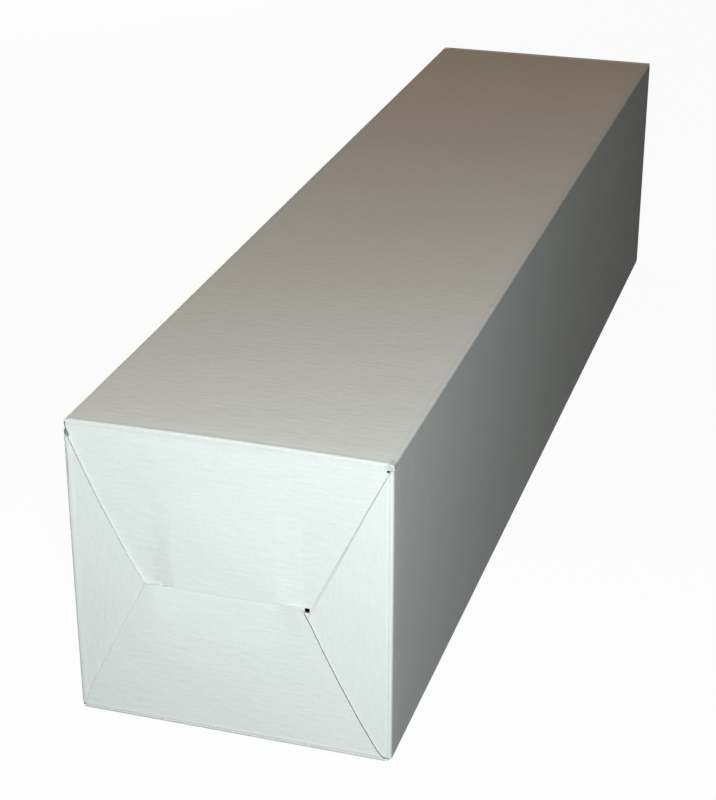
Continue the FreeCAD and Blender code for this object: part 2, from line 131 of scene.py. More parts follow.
# The photograph's camera: azimuth, elevation and roll in degrees, and its place
CAMERA_ANGLES = (17.130, 25.228, 0.023)
CAMERA_PLACE = (0.18344, FRONT - 0.46322, 0.34866)


def linear(text):
    """Linear colour of an sRGB hex value such as EDEFEC."""
    parts = [int(text[i : i + 2], 16) / 255 for i in (0, 2, 4)]
    curve = [c / 12.92 if c <= 0.04045 else ((c + 0.055) / 1.055) ** 2.4 for c in parts]
    return (*curve, 1.0)


def ease(value):
    """Smooth rise from 0 to 1."""
    value = min(max(value, 0.0), 1.0)
    return value * value * (3 - 2 * value)


# Shader helpers


class Nodes:
    """A node tree, with one way to add a node."""

    def __init__(self, tree):
        self.tree = tree
        self.tree.nodes.clear()

    def add(self, kind, settings=None, **inputs):
        """Adds a node, with its properties and its input values or links."""
        node = self.tree.nodes.new(kind)
        for key, value in (settings or {}).items():
            setattr(node, key, value)
        for key, value in inputs.items():
            slot = int(key[1:]) if key[0] == "i" and key[1:].isdigit() else key.replace("_", " ")
            socket = node.inputs[slot]
            if isinstance(value, bpy.types.NodeSocket):
                self.tree.links.new(value, socket)
            else:
                socket.default_value = value
        return node

    def maths(self, operation, first, second=0.0, clamp=False):
        """One Math node's result."""
        settings = {"operation": operation, "use_clamp": clamp}
        return self.add("ShaderNodeMath", settings, i0=first, i1=second).outputs[0]

    def product(self, first, *others):
        """The product of several values."""
        for other in others:
            first = self.maths("MULTIPLY", first, other)
        return first

    def distance(self, value, place):
        """How far a value is from a place."""
        return self.maths("ABSOLUTE", self.maths("SUBTRACT", value, place))

    def texture(self, place, scale, detail, roughness):
        """A noise texture's value, with a scale in 1/m."""
        inputs = {"Vector": place, "Scale": scale, "Detail": detail, "Roughness": roughness}
        return self.add("ShaderNodeTexNoise", **inputs).outputs[0]

    def swing(self, value, amount):
        """A texture's value about 0, with a strength."""
        return self.maths("MULTIPLY", self.maths("SUBTRACT", value, 0.5), amount)

    def mix(self, share, first, second):
        """A blend of two colours."""
        node = self.add("ShaderNodeMix", {"data_type": "RGBA"}, i0=share, i6=first, i7=second)
        return node.outputs["Result"]

    def bump(self, height, strength, distance, **inputs):
        """Normals of a fine relief."""
        inputs.update(Strength=strength, Distance=distance, Height=height)
        return self.add("ShaderNodeBump", **inputs).outputs[0]

    def surface(self, colour, roughness, normal, specular):
        """Ends a material with a Principled shader."""
        skin = self.add("ShaderNodeBsdfPrincipled", Base_Color=colour, Roughness=roughness, Normal=normal)
        skin.inputs["IOR"].default_value = 1.5
        skin.inputs["Specular IOR Level"].default_value = specular
        self.add("ShaderNodeOutputMaterial", Surface=skin.outputs[0])


def new_material(name):
    """A material, and its empty node tree."""
    material = bpy.data.materials.new(name)
    material.use_nodes = True
    return material, Nodes(material.node_tree)


def band(shader, distance, half_width, soft):
    """1 where a distance from a line is under half_width, falling to 0 over soft."""
    return shader.add(
        "ShaderNodeMapRange",
        {"interpolation_type": "SMOOTHSTEP"},
        Value=distance,
        From_Min=half_width,
        From_Max=half_width + soft,
        To_Min=1.0,
        To_Max=0.0,
    ).outputs[0]


def edge_line(shader, drawn, first, second, strengths, half_width=0.00012):
    """A thin dark line between two points of the drawn end face, with a strength at each end."""
    run = (second[0] - first[0], second[1] - first[1])
    length = run[0] ** 2 + run[1] ** 2
    across, up = drawn
    away = (shader.maths("SUBTRACT", across, first[0]), shader.maths("SUBTRACT", up, first[1]))
    along_x = shader.maths("MULTIPLY", away[0], run[0] / length)
    along_z = shader.maths("MULTIPLY", away[1], run[1] / length)
    share = shader.maths("ADD", along_x, along_z, True)
    aside = [
        shader.maths("SUBTRACT", part, shader.maths("MULTIPLY", share, side)) for part, side in zip(away, run)
    ]
    squares = [shader.maths("MULTIPLY", part, part) for part in aside]
    distance = shader.maths("SQRT", shader.maths("ADD", *squares))
    strength = shader.maths("MULTIPLY", share, strengths[1] - strengths[0])
    strength = shader.maths("ADD", strength, strengths[0])
    return shader.maths("MULTIPLY", band(shader, distance, half_width, 0.00016), strength)


def board_outside(look):
    """White-lined board, clay-coated and calendered: matt white with faint roller streaks and fibre cloud.

    The streaks run round the tube, because the blank's grain lies across it, and turn with the end flaps."""
    material, s = new_material("clay_coated_white_board")
    place = s.add("ShaderNodeTexCoord").outputs["Object"]
    # UV is in metres on the flat blank: X round the tube, Y along it.
    # Streaks are 6 mm long, the broad ones 1.6 mm apart and the fine ones 0.4 mm
    grain = s.add("ShaderNodeUVMap", {"uv_map": "board"}).outputs[0]
    broad = s.add("ShaderNodeMapping", Vector=grain, Scale=(170.0, 640.0, 1.0)).outputs[0]
    fine = s.add("ShaderNodeMapping", Vector=grain, Scale=(170.0, 2600.0, 1.0)).outputs[0]
    streak = s.texture(broad, 1.0, 3.0, 0.6)
    hair = s.texture(fine, 1.0, 2.0, 0.5)
    # Fibre clouds 6 mm across, flocks under 1 mm, a 2 mm mottle that varies the painted shade and highlights
    # by the folds and seams and the darker long folds, and handled patches 90 mm
    cloud = s.texture(place, 160.0, 4.0, 0.55)
    flock = s.texture(place, 1500.0, 3.0, 0.6)
    mottle = s.texture(place, 420.0, 3.0, 0.7)
    patch = s.texture(place, 11.0, 2.0, 0.5)
    lines = s.maths("ADD", s.swing(streak, look.streaks), s.swing(hair, look.streaks * 0.8))
    spots = s.maths("ADD", s.swing(cloud, 0.035), s.swing(flock, 0.10))
    change = s.maths("ADD", s.maths("ADD", lines, spots), s.swing(patch, 0.06))

    # Pressed crease by the right and the bottom fold of the end face, whose groove is darkened with painted
    # shade, and a painted highlight by all its folds; both also shape the relief
    across, along, up = s.add("ShaderNodeSeparateXYZ", Vector=place).outputs
    at_front = s.add(
        "ShaderNodeMapRange",
        Value=along,
        From_Min=FRONT + 0.0022,
        From_Max=FRONT + 0.0035,
        To_Min=1.0,
        To_Max=0.0,
    ).outputs[0]
    from_side = s.maths("SUBTRACT", HALF, s.maths("ABSOLUTE", across))
    from_top = s.maths("SUBTRACT", TOP, up)
    from_edge = s.maths("MINIMUM", from_side, s.maths("MINIMUM", from_top, up))
    from_fold = s.maths("MINIMUM", s.maths("SUBTRACT", HALF, across), up)
    groove = band(s, s.distance(from_fold, 0.00125), 0.00008, 0.00025)
    groove = s.product(groove, at_front, s.maths("ADD", mottle, 0.35, True))
    highlight_ridge = s.product(band(s, s.distance(from_edge, 0.0017), 0.0002, 0.0009), at_front, mottle)

    # Where two flaps meet, thin dark lines of painted shade stand for the shadow in the gap between them. The
    # second UV map holds the end face as drawn
    drawn = s.add("ShaderNodeUVMap", {"uv_map": "drawn"}).outputs[0]
    drawn = s.add("ShaderNodeSeparateXYZ", Vector=drawn).outputs[:2]
    dark = look.seam_shade_strength
    right_seam_shade = edge_line(s, drawn, *EDGES["right"], (dark * 0.35, dark))
    left_seam_shade = edge_line(s, drawn, *EDGES["bottom_left"], (dark * 0.4, dark * 0.3))
    seam_shade = s.product(s.maths("MAXIMUM", right_seam_shade, left_seam_shade), at_front, s.maths("ADD", mottle, 0.45, True))
    # Shade in the open corner above the left flap
    gap_ends = ((0.0005 - HALF, TOP - 0.0012), (0.0013 - HALF, TOP - 0.0052))
    corner_gap = edge_line(s, drawn, *gap_ends, (0.85, 0.60), half_width=0.00030)
    seam_shade = s.maths("MAXIMUM", seam_shade, s.product(corner_gap, at_front))

    # Long folds: the board is a little darker, in patches, where it turns
    long_fold = band(s, s.distance(s.maths("ADD", from_side, from_top), FOLD), 0.0006, 0.0012)
    long_fold_darkening = s.product(long_fold, mottle, 0.10)

    # Painted shade along the fold of the top flap, which lowers its highlight, most at its right corner,
    # where it is speckled
    fold_place = s.maths("ADD", s.maths("SUBTRACT", along, TOP_START), from_top)
    top_fold_shade = band(s, s.maths("ABSOLUTE", fold_place), 0.0004, 0.0010)
    top_fold_shade = s.product(top_fold_shade, s.maths("ADD", s.product(mottle, 0.16), 0.02))
    to_corner = s.maths("ADD", s.distance(across, HALF - 0.0012), s.distance(from_top, 0.0012))
    shade_speckle = s.maths("MULTIPLY", s.maths("SUBTRACT", flock, 0.46), 5.0, True)
    corner_shade = s.product(band(s, to_corner, 0.0010, 0.0018), s.maths("ADD", s.product(shade_speckle, 0.24), 0.15))
    corner_shade = s.product(corner_shade, s.maths("LESS_THAN", along, FRONT + END_DEPTH))

    # One small scuff on the top flap
    scuff_place = s.add(
        "ShaderNodeMapping",
        {"vector_type": "TEXTURE"},
        Vector=place,
        Location=(-0.0338, FRONT + 0.0014, 0.0893),
        Rotation=(0.0, math.radians(52.0), 0.0),
        Scale=(0.0013, 0.004, 0.00022),
    ).outputs[0]
    scuff = s.add("ShaderNodeVectorMath", {"operation": "LENGTH"}, i0=scuff_place).outputs["Value"]
    scuff = band(s, scuff, 0.35, 0.65)

    # Painted shade in the groove and a painted highlight by the folds
    value = s.maths("ADD", s.maths("SUBTRACT", 1.0, s.product(groove, look.groove_shade)), change)
    value = s.maths("ADD", value, s.product(highlight_ridge, 0.05))
    value = s.maths("SUBTRACT", value, s.product(scuff, 0.16))
    value = s.maths("SUBTRACT", value, long_fold_darkening)
    # Painted shade on the top flap's fold and its right corner
    value = s.maths("SUBTRACT", value, s.maths("MAXIMUM", top_fold_shade, corner_shade))
    value = s.product(value, s.maths("SUBTRACT", 1.0, seam_shade))
    warm = s.mix(s.maths("MULTIPLY", patch, 0.6, True), linear(look.coating), linear(look.coating_warm))
    paint = s.add("ShaderNodeVectorMath", {"operation": "SCALE"}, i0=warm, Scale=value).outputs[0]
    height = s.maths("ADD", s.product(flock, 0.5), s.product(streak, 1.8))
    height = s.maths("ADD", height, s.product(cloud, 0.8))
    fibre = s.bump(height, 0.85, 0.00007)
    crease = s.bump(s.maths("SUBTRACT", highlight_ridge, groove), 0.5, 0.00012, Normal=fibre)
    rough = s.add(
        "ShaderNodeMapRange", Value=cloud, From_Min=0.3, From_Max=0.7, To_Min=0.62, To_Max=0.76
    ).outputs[0]
    s.surface(paint, rough, crease, 0.08)
    return material


def board_inside(look):
    """The uncoated back of white-lined board: grey, soft, with visible fibre flocks."""
    material, s = new_material("uncoated_board_back")
    place = s.add("ShaderNodeTexCoord").outputs["Object"]
    grain = s.add("ShaderNodeUVMap", {"uv_map": "board"}).outputs[0]
    # Fibres 2.4 mm long and 0.7 mm apart, and clouds 4.5 mm across
    stretch = s.add("ShaderNodeMapping", Vector=grain, Scale=(420.0, 1500.0, 1.0)).outputs[0]
    fibre = s.texture(stretch, 1.0, 4.0, 0.65)
    cloud = s.texture(place, 220.0, 4.0, 0.6)
    blend = s.maths("ADD", s.product(fibre, 0.55), s.product(cloud, 0.45))
    share = s.maths("MULTIPLY", blend, 1.0, True)
    paint = s.mix(share, linear(look.back_dark), linear(look.back_light))
    s.surface(paint, 0.88, s.bump(blend, 0.6, 0.00008), 0.2)
    return material


def board_edge(look):
    """A die-cut edge of white-lined board: its grey core in plies, rough and matt."""
    material, s = new_material("die_cut_board_edge")
    place = s.add("ShaderNodeTexCoord").outputs["Object"]
    # Plies 0.4 mm apart and tears 3 mm apart
    plies = s.texture(place, 2600.0, 3.0, 0.7)
    tear = s.texture(place, 300.0, 3.0, 0.6)
    mixed = s.maths("ADD", s.product(plies, 0.6), s.product(tear, 0.4))
    share = s.maths("MULTIPLY", mixed, 1.0, True)
    paint = s.mix(share, linear(look.edge_dark), linear(look.edge_light))
    # The coating wraps over the edge of the left flap, most near its tip, and along the centre seam
    across, _, up = s.add("ShaderNodeSeparateXYZ", Vector=place).outputs
    wrap = s.add(
        "ShaderNodeMapRange", Value=across, From_Min=0.002 - HALF, From_Max=APEX[0], To_Min=0.25, To_Max=0.6
    ).outputs[0]
    wrap = s.product(wrap, s.maths("LESS_THAN", across, APEX[0] + 0.0012))
    at_seam = s.maths("LESS_THAN", s.distance(up, APEX[1] + 0.0005), 0.0015)
    wrap = s.maths("MAXIMUM", wrap, s.product(at_seam, 0.72))
    coated = s.mix(wrap, paint, linear(look.coating))
    s.surface(coated, 0.95, s.bump(mixed, 0.7, 0.00010), 0.15)
    return material


BOARD_MATERIALS = {}


def board_materials(look):
    """Outside, back and cut edge of the board, made once."""
    if not BOARD_MATERIALS:
        BOARD_MATERIALS["outside"] = board_outside(look)
        BOARD_MATERIALS["inside"] = board_inside(look)
        BOARD_MATERIALS["edge"] = board_edge(look)
    return [BOARD_MATERIALS[name] for name in ("outside", "inside", "edge")]


# Where things are on the folded blank


def seam_height(across):
    """Height of the centre seam as drawn."""
    return APEX[1] + SEAM_TILT * (across - APEX[0])


def in_side_sheet(depth, slack):
    """True if a depth behind the front lies in the sheet of the side flaps."""
    return LAYER - slack < depth < LAYER + BOARD + slack


def flap_at(across, along, up):
    """Name of the front flap whose sheet holds a point."""
    depth = along - FRONT
    side_sheet = in_side_sheet(depth, 0.00008)
    if side_sheet and across < APEX[0] + 0.0009:
        return "left"
    if side_sheet and across > SHOULDER[0] - 0.0003:
        return "right"
    tongue = APEX[0] + 0.008 < across < SHOULDER[0] - 0.007 and depth > 0.0016 and up < 0.0645
    return "bottom" if up < seam_height(across) + 0.0007 or tongue else "top"


def blank_place(point, normal, centre):
    """Place on the flat blank in metres: round the tube, and along it past the folds, by its face's flap.

    The four walls start at 0.1 m (bottom), 0.2 m (top), 0.3 m (left) and 0.5 m (right) round the tube."""
    across, along, up = point
    end_face = abs(normal.y) > 0.75
    if end_face and along < FRONT + 0.006:
        flap = flap_at(*centre)
        reach = {"left": across + HALF, "right": HALF - across, "bottom": up, "top": TOP - up}[flap]
        around = {"left": up + 0.3, "right": up + 0.5, "bottom": across + 0.1, "top": across + 0.2}[flap]
        return around, FRONT - reach
    if end_face and along > BACK - 0.004:
        if abs(along - BACK) < 0.0008:
            return across + 0.2, BACK + TOP - up
        return up + 0.3, BACK + HALF - abs(across)
    if abs(normal.x) > 0.75:
        return (up + 0.3 if across < 0 else up + 0.5), along
    if up < HALF and along > BACK - 0.023 and up > BOARD + 0.0001:
        return across + 0.2, BACK + TOP + BACK - along
    return (across + 0.1 if up < HALF else across + 0.2), along


def board_face(centre, normal):
    """0 for the coated outside, 1 for the back, 2 for a cut edge."""
    across, along, up = centre
    inward = Vector((-across, 0, HALF - up)).normalized()
    inset = min(HALF - abs(across), up, TOP - up)
    # End face
    if along < FRONT + END_DEPTH and abs(normal.y) < 0.6:
        if inset > 0.0011:
            return 2
        return 1 if normal.dot(inward) > 0.5 else 0
    if along < FRONT + END_DEPTH:
        return 0 if normal.y < 0 else 1
    # Far end: thumb notch, edge of the top wall, dust flaps
    if along > BACK - 0.012 and abs(normal.z) < 0.3 and up < BOARD + 0.0001:
        return 2
    if abs(along - TOP_END) < 0.00005 and normal.y > 0.9 and up > TOP - BOARD - 0.0001:
        return 2
    if along > SIDE_END and abs(normal.y) > 0.6:
        return 0 if normal.y > 0 else 1
    if along > SIDE_END and inset > 0.0012:
        return 2
    # Walls
    return 1 if normal.dot(inward) > 0.3 else 0


def lid_face(centre, normal):
    """Finish of one face of the lid: 0 outside, 1 back, 2 cut edge."""
    if centre.y > BACK - BOARD - FOLD and abs(normal.x) < 0.5:
        return 1 if normal.y < -0.4 and centre.z > 0.004 or normal.z > 0.4 and centre.z < HALF else 0
    if abs(normal.z) > 0.6:
        return 0 if normal.z < 0 else 1
    return 2


def table_value(table, place):
    """Value between the rows of a table of (place, value), level past its ends."""
    if place <= table[0][0]:
        return table[0][1]
    for (low, first), (high, second) in zip(table, table[1:]):
        if place <= high:
            return first + (second - first) * (place - low) / (high - low)
    return table[-1][1]


def edge_stray(name, across, up):
    """Sideways shift of a flap near one of its visible edges, fading out 10 mm from it."""
    (first, low), (second, high) = sorted(EDGES[name], key=lambda end: end[1])
    share = min(max((up - low) / (high - low), 0.0), 1.0)
    line = first + (second - first) * share
    return table_value(STRAY[name], up) * ease(1 - abs(across - line) / 0.010)


def end_set(point):
    """How the hand-folded end face departs from its drawing: bowed edges, closed corners and seam."""
    across, along, up = point
    depth = along - FRONT
    from_left, from_right = across + HALF, HALF - across
    from_wall = min(from_left, from_right)
    side, rise = 0.0, 0.0
    hand = "left" if across < 0 else "right"
    if depth < BOARD + 0.00005 and up < APEX[1] and from_wall > 0.0010:
        side += edge_stray("bottom_" + hand, across, up)
    elif in_side_sheet(depth, 0.00005) and from_wall > 0.00095:
        if flap_at(across, along, up) in ("left", "right"):
            side += edge_stray(hand, across, up)
    # The left half of the centre seam stands higher, and the open spot's surroundings lower
    seam = seam_height(across)
    near_seam = ease(1 - abs(up - seam) / 0.012)
    rise += 0.0005 * near_seam * ease((across - APEX[0] + 0.004) / 0.004) * ease((0.004 - across) / 0.024)
    from_spot = math.hypot(across - SPOT[0], up - SPOT[1])
    rise -= 0.0005 * ease(1 - from_spot / 0.006)
    # The cut edge of the bottom flap closes up to the top flap beside its tongue
    beside = min(abs(from_left - 0.0300), abs(from_right - 0.0322))
    if abs(up - seam) < 0.0001 and depth < 0.0019:
        rise += 0.00026 * ease((0.0045 - beside) / 0.0025)
    # The top flap's crease runs out into both corners, and the left flap stops short of it
    if depth > 2 * LAYER - 0.0003 and 0.00115 < from_wall < 0.006:
        outward = 0.0007 * ease((up - TOP + 0.0053) / 0.0035) * ease((0.006 - from_wall) / 0.0048)
        side += math.copysign(outward, across)
    if from_left < 0.00115 and depth < 0.0024 and up < TOP - 0.0020:
        rise -= 0.0012 * ease((up - TOP + 0.0055) / 0.003)
    return Vector((side, 0.0, rise))


def wall_warp(point, look):
    """Small set of the board: walls bow by fractions of a millimetre, the corners stay."""
    across, along, up = point
    to_front = ease((0.02 - along) / 0.2)
    side = across / HALF
    rise = (2 * up / TOP) - 1
    top_bow = (1 - side * side) * max(rise, 0.0) ** 2
    side_bow = (1 - rise * rise) * abs(side) ** 3
    ripple = noise.noise(Vector((across * 14, along * 9, up * 14 + 3.0)))
    sag = 0.00022 * to_front * max(rise, 0.0) ** 2
    move_up = top_bow * (look.top_bow * to_front + 0.00016 * ripple) - sag
    move_side = math.copysign(side_bow * (0.00018 * ripple - 0.00008), across)
    fade = ease((BACK - 0.002 - along) / 0.03)
    return Vector((move_side, 0.0, move_up)) * fade


def link_new(name, data):
    """An object at the origin for a mesh or a lamp, in the scene."""
    made = bpy.data.objects.new(name, data)
    bpy.context.scene.collection.objects.link(made)
    return made


def cut(mesh, geometry, point, normal):
    """Cuts part of a mesh along a plane."""
    bmesh.ops.bisect_plane(mesh, geom=geometry, dist=1e-6, plane_co=point, plane_no=Vector(normal))


def finished_copy(node, name, look, cuts, finish_of):
    """A merged copy of a solid, cut finer for the warp, with the blank's UV maps and three finishes."""
    mesh = bmesh.new()
    mesh.from_mesh(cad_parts[node].data)
    bmesh.ops.remove_doubles(mesh, verts=mesh.verts, dist=2e-6)
    for normal, start, end, count in cuts:
        for step in range(1, count):
            point = Vector(start).lerp(Vector(end), step / count)
            cut(mesh, mesh.verts[:] + mesh.edges[:] + mesh.faces[:], point, normal)
    for normal, start, places in FINE_CUTS:
        for place in places:
            faces = [face for face in mesh.faces if face.calc_center_median().y < FRONT + END_DEPTH]
            rims = {edge for face in faces for edge in face.edges}
            tips = {vertex for face in faces for vertex in face.verts}
            cut(mesh, [*tips, *rims, *faces], Vector(start) + Vector(normal) * place, normal)
    layer = mesh.loops.layers.uv.new("board")
    drawn = mesh.loops.layers.uv.new("drawn")
    for face in mesh.faces:
        normal = face.normal
        centre = face.calc_center_median()
        face.material_index = finish_of(centre, normal)
        face.smooth = True
        for loop in face.loops:
            loop[layer].uv = blank_place(loop.vert.co, normal, centre)
            loop[drawn].uv = (loop.vert.co.x, loop.vert.co.z)
    for vertex in mesh.verts:
        stray = end_set(vertex.co) if vertex.co.y < FRONT + END_DEPTH else Vector()
        vertex.co += wall_warp(vertex.co, look) + stray
    data = bpy.data.meshes.new(name)
    mesh.to_mesh(data)
    mesh.free()
    for material in board_materials(look):
        data.materials.append(material)
    data.set_sharp_from_angle(angle=math.radians(24))
    return link_new(name, data)


def plain_mesh(name, points, edges, faces, materials):
    """An object at the origin from points in metres."""
    data = bpy.data.meshes.new(name)
    data.from_pydata(points, edges, faces)
    data.update()
    for material in materials:
        data.materials.append(material)
    return link_new(name, data)


# Raised beads that the creasing rule leaves along some folds of the end face


def bead_tree(material):
    """Geometry nodes that sweep a round bead of uneven thickness along every edge of a mesh of fold lines."""
    tree = bpy.data.node_groups.new("crease_bead_sweep", "GeometryNodeTree")
    face = tree.interface
    face.new_socket(name="Fold lines", in_out="INPUT", socket_type="NodeSocketGeometry")
    radius = face.new_socket(name="Bead radius", in_out="INPUT", socket_type="NodeSocketFloat")
    radius.default_value = 0.0002
    face.new_socket(name="Beads", in_out="OUTPUT", socket_type="NodeSocketGeometry")
    s = Nodes(tree)
    source = s.add("NodeGroupInput")
    line = s.add("GeometryNodeMeshToCurve", Mesh=source.outputs["Fold lines"]).outputs[0]
    fine = s.add("GeometryNodeResampleCurve", Curve=line, Count=40).outputs[0]
    swell = s.add("ShaderNodeTexNoise", Scale=260.0).outputs[0]
    grow = s.add("ShaderNodeMapRange", Value=swell, From_Min=0.3, From_Max=0.7, To_Min=0.8, To_Max=1.1)
    path = s.add("GeometryNodeSetCurveRadius", Curve=fine, Radius=grow.outputs[0]).outputs[0]
    round_size = source.outputs["Bead radius"]
    ring = s.add("GeometryNodeCurvePrimitiveCircle", Resolution=8, Radius=round_size).outputs[0]
    sweep = s.add("GeometryNodeCurveToMesh", Curve=path, Profile_Curve=ring, Fill_Caps=True).outputs[0]
    smooth = s.add("GeometryNodeSetShadeSmooth", Geometry=sweep).outputs[0]
    real = s.add("GeometryNodeRealizeInstances", Geometry=smooth).outputs[0]
    finish = s.add("GeometryNodeSetMaterial", Geometry=real, Material=material).outputs[0]
    s.add("NodeGroupOutput", Beads=finish)
    return tree


def applied(piece, name):
    """A plain mesh object from the evaluated piece, which is then removed."""
    graph = bpy.context.evaluated_depsgraph_get()
    data = bpy.data.meshes.new_from_object(piece.evaluated_get(graph))
    data.name = name
    bpy.data.objects.remove(piece)
    return link_new(name, data)


# Settings


class TubeLook(bpy.types.PropertyGroup):
    """Board finish and small set of the walls."""

    coating: StringProperty(
        name="Coating", description="Coated outside, as an sRGB hex value", default="EDEFEB"
    )
    coating_warm: StringProperty(
        name="Coating, warmer patches", description="sRGB hex value", default="EAEBE5"
    )
    back_light: StringProperty(name="Back, light fibre", description="sRGB hex value", default="C2BCB0")
    back_dark: StringProperty(name="Back, dark fibre", description="sRGB hex value", default="A49D90")
    edge_light: StringProperty(name="Cut edge, light fibre", description="sRGB hex value", default="A5A199")
    edge_dark: StringProperty(name="Cut edge, dark fibre", description="sRGB hex value", default="75716A")
    streaks: FloatProperty(
        name="Streaks", description="Strength of the roller streaks", default=0.055, subtype="FACTOR"
    )
    # Strength of the painted shade in the pressed groove
    groove_shade: FloatProperty(
        name="Groove shade", description="How dark the pressed groove is", default=0.06, subtype="FACTOR"
    )
    # Strength of the painted shade where two flaps meet
    seam_shade_strength: FloatProperty(
        name="Seam shade", description="Darkness where two flaps meet", default=0.42, subtype="FACTOR"
    )
    top_bow: FloatProperty(
        name="Top bow", description="Rise of the top wall at the end face", default=0.00045, unit="LENGTH"
    )
    bead: FloatProperty(
        name="Crease bead", description="Radius of the bead along a fold", default=0.00012, unit="LENGTH"
    )


class TubeStage(bpy.types.PropertyGroup):
    """Studio and camera."""

    key_power: FloatProperty(
        name="Key", description="Power of the soft lamp by the camera", default=3.85, unit="POWER"
    )
    room_power: FloatProperty(
        name="Room lamp", description="Power of the warm lamp overhead", default=1.42, unit="POWER"
    )
    back_power: FloatProperty(
        name="Back", description="Power of the lamp behind the far end", default=12.0, unit="POWER"
    )
    key_place: FloatVectorProperty(
        name="Key place", description="In metres", default=(0.177, -0.674, 0.354), subtype="XYZ"
    )
    room_place: FloatVectorProperty(
        name="Room lamp place", description="In metres", default=(-0.35, 0.22, 1.1), subtype="XYZ"
    )
    back_place: FloatVectorProperty(
        name="Back place", description="In metres", default=(-0.75, 0.95, 0.05), subtype="XYZ"
    )
    key_colour: StringProperty(name="Key colour", description="sRGB hex value", default="F4FDFF")
    room_colour: StringProperty(name="Room lamp colour", description="sRGB hex value", default="FFC68E")
    back_colour: StringProperty(name="Back colour", description="sRGB hex value", default="FFF8F0")
    fill_colour: StringProperty(name="Fill colour", description="sRGB hex value", default="FFB884")
    fill: FloatProperty(
        name="Fill", description="Strength of the warm surroundings", default=0.016, subtype="FACTOR"
    )
    focal: FloatProperty(
        name="Focal length", description="In millimetres on a 36 mm long side", default=86.731
    )


# Operators


class TUBE_OT_board(bpy.types.Operator):
    """Finish the folded blank: walls, interlocked flaps, dust flaps and glue lap"""

    bl_idname = "tube.board"
    bl_label = "Folded board"

    def execute(self, context):
        look = context.scene.tube_look
        cuts = (
            ((0, 1, 0), (0, FRONT, 0), (0, BACK, 0), 45),
            ((1, 0, 0), (-HALF, 0, 0), (HALF, 0, 0), 12),
            ((0, 0, 1), (0, 0, 0), (0, 0, TOP), 12),
        )
        piece = finished_copy("tube_body", "folded_board", look, cuts, board_face)
        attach(piece, "tube")
        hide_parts("tube_body")
        return {"FINISHED"}


class TUBE_OT_lid(bpy.types.Operator):
    """Finish the lid and its tuck flap"""

    bl_idname = "tube.lid"
    bl_label = "Tuck-in lid"

    def execute(self, context):
        look = context.scene.tube_look
        cuts = (
            ((1, 0, 0), (-HALF, 0, 0), (HALF, 0, 0), 12),
            ((0, 0, 1), (0, 0, 0), (0, 0, TOP), 12),
        )
        piece = finished_copy("tuck_lid", "lid_board", look, cuts, lid_face)
        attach(piece, "lid")
        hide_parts("tuck_lid")
        return {"FINISHED"}


def crease_path(proud):
    """Section of the lid crease's outside, as (along, up), from the top wall round to the lid."""
    centre = BACK - BOARD / 2
    turn = BOARD / 2 + proud
    path = [(TOP_END - 0.0022, TOP - 0.00002), (TOP_END - 0.0008, TOP + proud)]
    path += [(TOP_END - 0.0002, TOP + proud), (centre, TOP + proud)]
    for step in range(1, 9):
        angle = math.radians(90 - 90 * step / 8)
        path.append((centre + turn * math.cos(angle), HINGE_UP + turn * math.sin(angle)))
    path += [(BACK + proud, HINGE_UP - 0.0009), (BACK + proud, HINGE_UP - 0.0016)]
    path.append((BACK - 0.00002, HINGE_UP - 0.0030))
    return path


class TUBE_OT_lid_crease(bpy.types.Operator):
    """Skin of board that joins the top wall and the lid over their open crease"""

    bl_idname = "tube.lid_crease"
    bl_label = "Lid crease"

    def execute(self, context):
        look = context.scene.tube_look
        skin = 0.00016
        wide = HALF - 0.0006
        path = crease_path(0.00003)
        inner = []
        for index, (along, up) in enumerate(path):
            before = Vector(path[max(index - 1, 0)])
            after = Vector(path[min(index + 1, len(path) - 1)])
            run = (after - before).normalized()
            inner.append((along + run.y * skin, up - run.x * skin))
        columns = 24
        points, faces = [], []
        rows = len(path)
        for line in (path, inner):
            for column in range(columns + 1):
                across = -wide + 2 * wide * column / columns
                points += [(across, along, up) for along, up in line]
        shift = (columns + 1) * rows
        for column in range(columns):
            for row in range(rows - 1):
                a = column * rows + row
                faces.append((a, a + rows, a + rows + 1, a + 1))
                faces.append((a + shift, a + shift + 1, a + shift + rows + 1, a + shift + rows))
        for row in range(rows - 1):
            faces.append((row, row + 1, row + 1 + shift, row + shift))
            last = columns * rows + row
            faces.append((last, last + shift, last + shift + 1, last + 1))
        for column in range(columns):
            a = column * rows
            faces.append((a, a + shift, a + shift + rows, a + rows))
            b = a + rows - 1
            faces.append((b, b + rows, b + rows + shift, b + shift))
        piece = plain_mesh("lid_crease", points, [], faces, board_materials(look)[:1])
        uv = piece.data.uv_layers.new(name="board")
        for loop in piece.data.loops:
            point = piece.data.vertices[loop.vertex_index].co
            uv.data[loop.index].uv = (point.x + 0.2, point.y + TOP - point.z)
        fixed = bmesh.new()
        fixed.from_mesh(piece.data)
        bmesh.ops.recalc_face_normals(fixed, faces=fixed.faces)
        fixed.to_mesh(piece.data)
        fixed.free()
        for polygon in piece.data.polygons:
            polygon.use_smooth = True
        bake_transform(piece)
        return {"FINISHED"}


